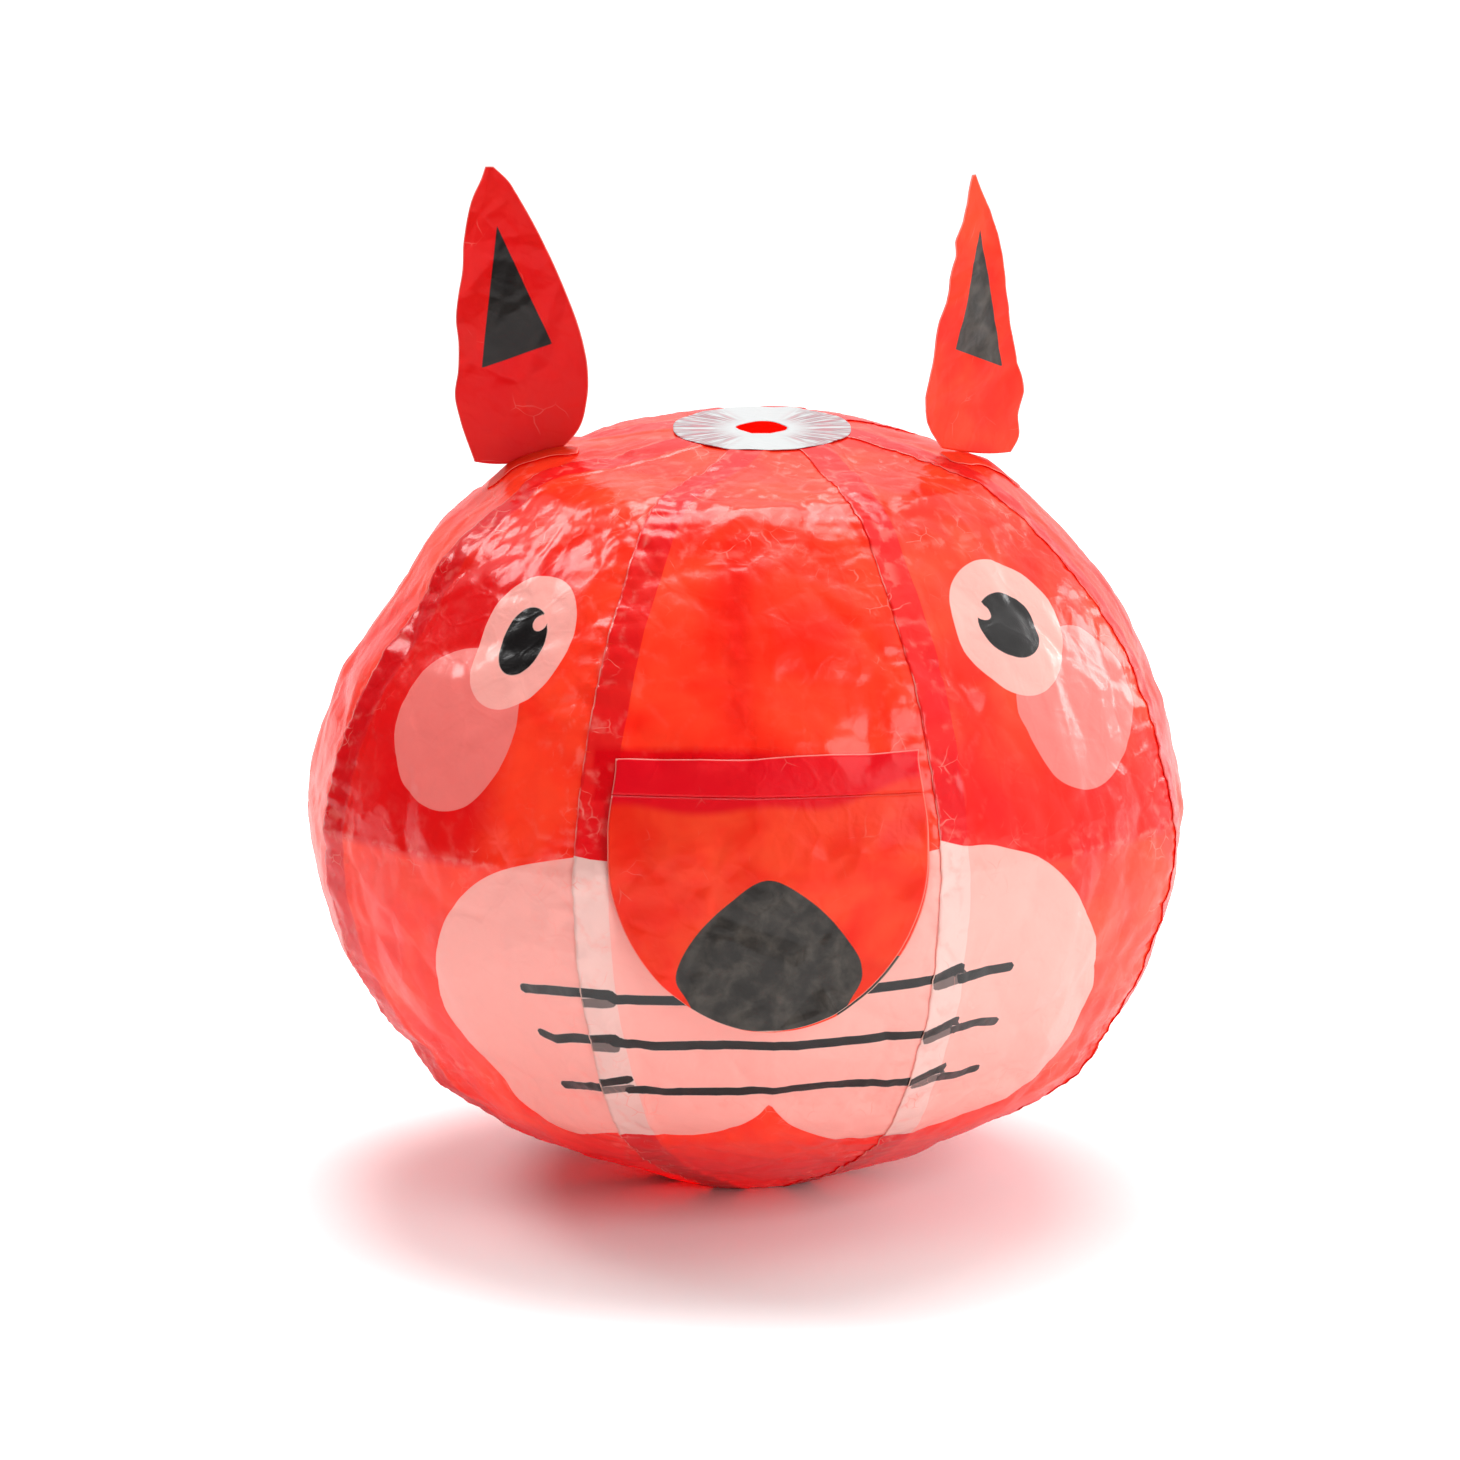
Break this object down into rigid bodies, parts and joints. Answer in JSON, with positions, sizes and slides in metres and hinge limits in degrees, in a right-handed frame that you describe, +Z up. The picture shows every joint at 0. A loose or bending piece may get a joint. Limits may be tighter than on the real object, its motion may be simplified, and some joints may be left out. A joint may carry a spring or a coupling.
{
  "type": "paper balloon",
  "caption": "Blow-up paper balloon shaped as an animal's head: lapped paper gores, a disc over each pole, two standing ears and a hanging snout flap.",
  "frame": {"origin": "centre of the flat underside of the base disc, where the balloon rests", "axes": "+Z up through the blow hole in the crown disc, the face looks along -Y, +X to the viewer's right"},
  "size_m": [0.2216, 0.223, 0.258],
  "materials": {
    "red_paper": "glossy printed glassine, red, with black and pink prints",
    "silver_paper": "silver-white printed paper"
  },
  "bodies": {
    "balloon": {"front_gore": "red_paper", "front_right_gore": "red_paper", "right_gore": "red_paper", "rear_right_gore": "red_paper", "rear_gore": "red_paper", "rear_left_gore": "red_paper", "left_gore": "red_paper", "front_left_gore": "red_paper", "base_disc": "silver_paper", "crown_disc": "silver_paper", "left_ear_tab": "red_paper", "right_ear_tab": "red_paper", "snout_glue_strip": "red_paper"},
    "left_ear": {"left_ear_front_leaf": "red_paper", "left_ear_back_leaf": "red_paper"},
    "right_ear": {"right_ear_front_leaf": "red_paper", "right_ear_back_leaf": "red_paper"},
    "snout": {"snout_back_leaf": "red_paper", "snout_front_leaf": "red_paper"}
  },
  "joints": [
    {"name": "left_ear_fold", "type": "hinge", "parent": "balloon", "child": "left_ear", "pos_m": [-0.05526, 0, 0.18185], "axis": [0.9726, -0.0698, 0.2218], "range_deg": [-85, 85], "stiffness_Nm_per_rad": 0.0002},
    {"name": "right_ear_fold", "type": "hinge", "parent": "balloon", "child": "right_ear", "pos_m": [0.05526, 0, 0.18185], "axis": [0.7469, 0.6428, -0.1703], "range_deg": [-85, 85], "stiffness_Nm_per_rad": 0.0002},
    {"name": "snout_lift", "type": "hinge", "parent": "balloon", "child": "snout", "pos_m": [0.003, -0.10542, 0.119], "axis": [-1, 0, 0], "range_deg": [0, 100]}
  ]
}
